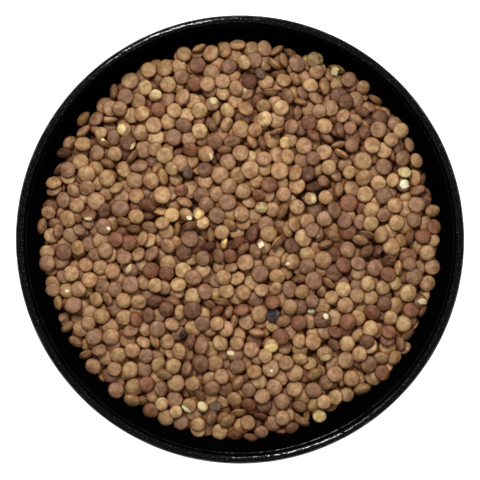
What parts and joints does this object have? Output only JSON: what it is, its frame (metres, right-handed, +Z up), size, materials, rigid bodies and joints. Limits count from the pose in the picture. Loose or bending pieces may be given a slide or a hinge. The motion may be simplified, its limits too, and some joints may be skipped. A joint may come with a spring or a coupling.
{
  "type": "bowl of dry lentils",
  "caption": "Round black bowl on a foot ring, filled to just under its rim with a low heap of small dry brown lentils.",
  "frame": {"origin": "on the bowl's axis, in the plane that its foot ring stands on", "axes": "+Z up, along the bowl's axis; the bowl is round, so +X and +Y are the right and the top of the picture"},
  "size_m": [0.14, 0.14, 0.05],
  "materials": {
    "bowl": "black, glossy",
    "lentils": "dry seed skins in tan, pinkish brown and dark brown, matt with a faint sheen"
  },
  "bodies": {
    "root": {"bowl": "bowl", "lentils": "lentils"}
  },
  "joints": []
}
